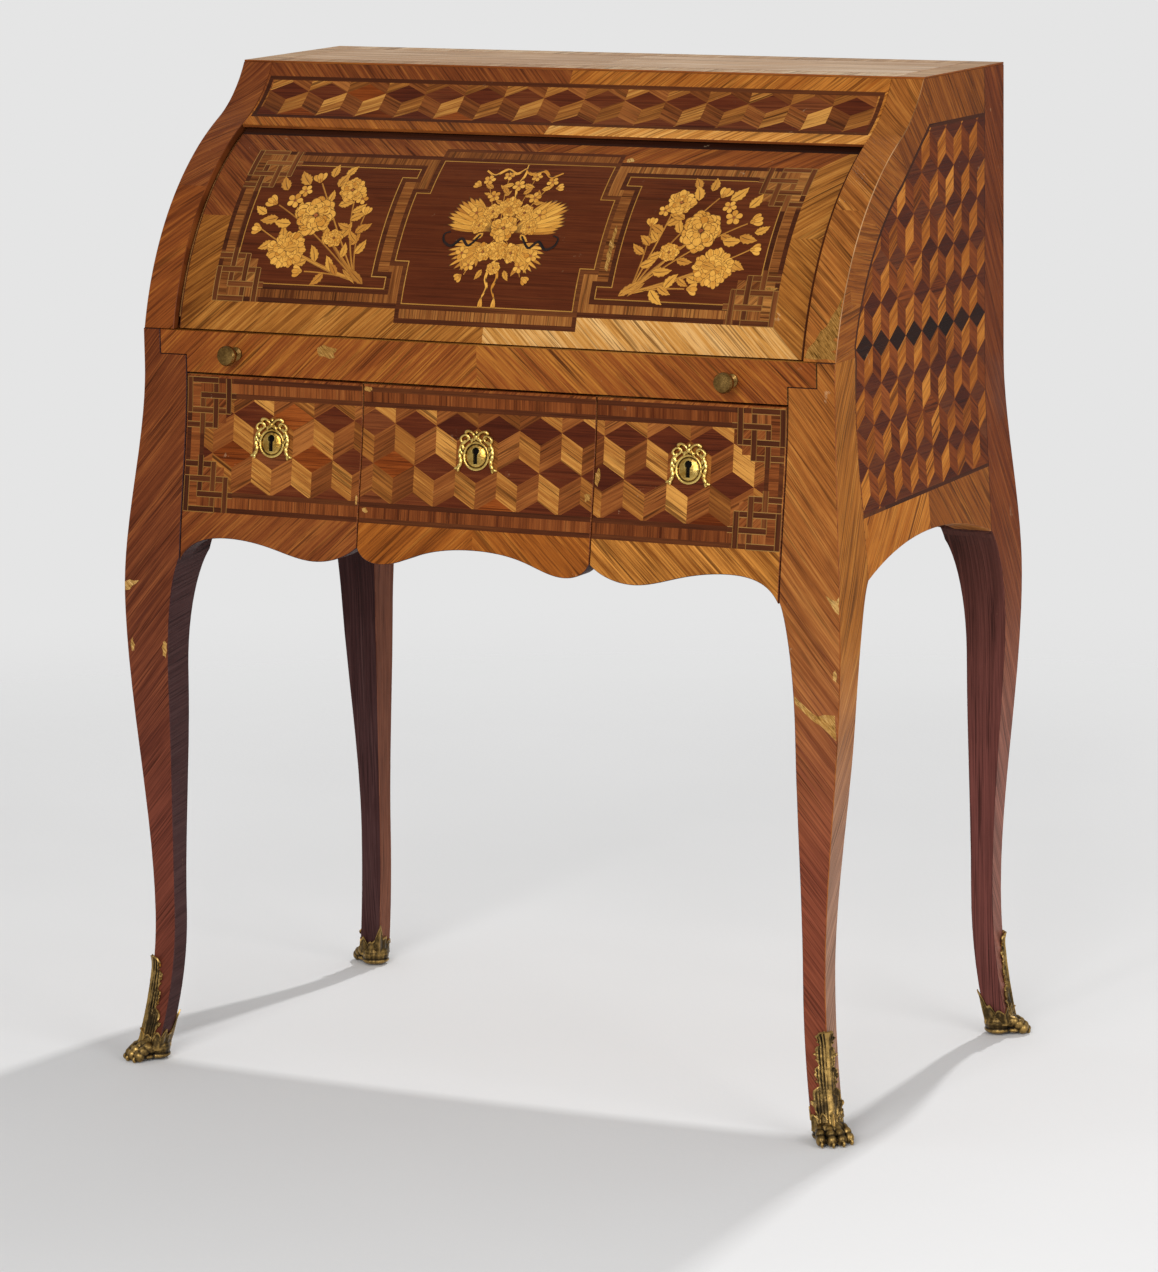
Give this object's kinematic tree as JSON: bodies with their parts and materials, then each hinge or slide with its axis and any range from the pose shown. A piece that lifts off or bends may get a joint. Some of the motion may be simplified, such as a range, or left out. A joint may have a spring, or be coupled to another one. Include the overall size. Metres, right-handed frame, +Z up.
{
  "type": "cylinder desk",
  "caption": "Veneered cylinder desk on cabriole legs with a marquetry roll, pull-out writing slide, locked drawers over a scalloped apron, and pigeonholes inside.",
  "frame": {"origin": "on the floor under the middle of the feet", "axes": "+Z up, front towards -Y, +X to the right of someone facing the desk"},
  "size_m": [0.7916, 0.4889, 0.974],
  "materials": {
    "veneered_wood": "polished tulipwood, amaranth and satinwood veneer",
    "inner_wood": "waxed oak and walnut",
    "gilt_bronze": "worn gilt bronze",
    "knob_brass": "dark turned brass",
    "lock_iron": "blackened iron",
    "writing_leather": "green tooled leather"
  },
  "bodies": {
    "case": {"right_side": "veneered_wood", "left_side": "veneered_wood", "top_board": "inner_wood", "top_veneer": "veneered_wood", "frieze_panel": "veneered_wood", "back_panel": "inner_wood", "back_rail": "inner_wood", "front_right_leg": "veneered_wood", "front_left_leg": "veneered_wood", "back_right_leg": "veneered_wood", "back_left_leg": "veneered_wood", "front_right_shoe": "gilt_bronze", "front_left_shoe": "gilt_bronze", "back_right_shoe": "gilt_bronze", "back_left_shoe": "gilt_bronze", "dust_board": "inner_wood", "drawer_floor": "inner_wood", "right_partition": "inner_wood", "left_partition": "inner_wood", "drawer_guides": "inner_wood", "nest_floor": "inner_wood", "nest_top": "inner_wood", "nest_uprights": "inner_wood", "nest_shelves": "inner_wood"},
    "writing_slide": {"slide_board": "inner_wood", "slide_leather": "writing_leather", "slide_lip": "veneered_wood", "right_slide_knob": "knob_brass", "left_slide_knob": "knob_brass"},
    "roll": {"roll": "veneered_wood", "roll_runners": "inner_wood"},
    "left_drawer": {"left_drawer_front": "veneered_wood", "left_drawer_walls": "inner_wood", "left_drawer_bottom": "inner_wood", "left_drawer_lock": "lock_iron", "left_drawer_key_plate": "gilt_bronze"},
    "left_bolt": {"left_drawer_bolt": "lock_iron"},
    "centre_drawer": {"centre_drawer_front": "veneered_wood", "centre_drawer_walls": "inner_wood", "centre_drawer_bottom": "inner_wood", "centre_drawer_lock": "lock_iron", "centre_drawer_key_plate": "gilt_bronze"},
    "centre_bolt": {"centre_drawer_bolt": "lock_iron"},
    "right_drawer": {"right_drawer_front": "veneered_wood", "right_drawer_walls": "inner_wood", "right_drawer_bottom": "inner_wood", "right_drawer_lock": "lock_iron", "right_drawer_key_plate": "gilt_bronze"},
    "right_bolt": {"right_drawer_bolt": "lock_iron"},
    "left_pen_drawer": {"left_pen_drawer_front": "veneered_wood", "left_pen_drawer_walls": "inner_wood", "left_pen_drawer_bottom": "inner_wood", "left_pen_drawer_knob": "knob_brass"},
    "right_pen_drawer": {"right_pen_drawer_front": "veneered_wood", "right_pen_drawer_walls": "inner_wood", "right_pen_drawer_bottom": "inner_wood", "right_pen_drawer_knob": "knob_brass"}
  },
  "joints": [
    {"name": "slide_pull", "type": "slide", "parent": "case", "child": "writing_slide", "axis": [0, -1, 0], "range_m": [0, 0.22]},
    {"name": "roll_turn", "type": "hinge", "parent": "case", "child": "roll", "pos_m": [0, 0.0838, 0.667], "axis": [-1, 0, 0], "range_deg": [0, 46]},
    {"name": "left_drawer_pull", "type": "slide", "parent": "case", "child": "left_drawer", "axis": [0, -1, 0], "range_m": [0, 0.26]},
    {"name": "left_bolt_throw", "type": "slide", "parent": "left_drawer", "child": "left_bolt", "axis": [0, 0, 1], "range_m": [0, 0.01]},
    {"name": "centre_drawer_pull", "type": "slide", "parent": "case", "child": "centre_drawer", "axis": [0, -1, 0], "range_m": [0, 0.26]},
    {"name": "centre_bolt_throw", "type": "slide", "parent": "centre_drawer", "child": "centre_bolt", "axis": [0, 0, 1], "range_m": [0, 0.01]},
    {"name": "right_drawer_pull", "type": "slide", "parent": "case", "child": "right_drawer", "axis": [0, -1, 0], "range_m": [0, 0.26]},
    {"name": "right_bolt_throw", "type": "slide", "parent": "right_drawer", "child": "right_bolt", "axis": [0, 0, 1], "range_m": [0, 0.01]},
    {"name": "left_pen_drawer_pull", "type": "slide", "parent": "case", "child": "left_pen_drawer", "axis": [0, -1, 0], "range_m": [0, 0.11]},
    {"name": "right_pen_drawer_pull", "type": "slide", "parent": "case", "child": "right_pen_drawer", "axis": [0, -1, 0], "range_m": [0, 0.11]}
  ],
  "couplings": [
    {"joint": "roll_turn", "follows": "slide_pull", "rad_per_m": 3.6493}
  ]
}
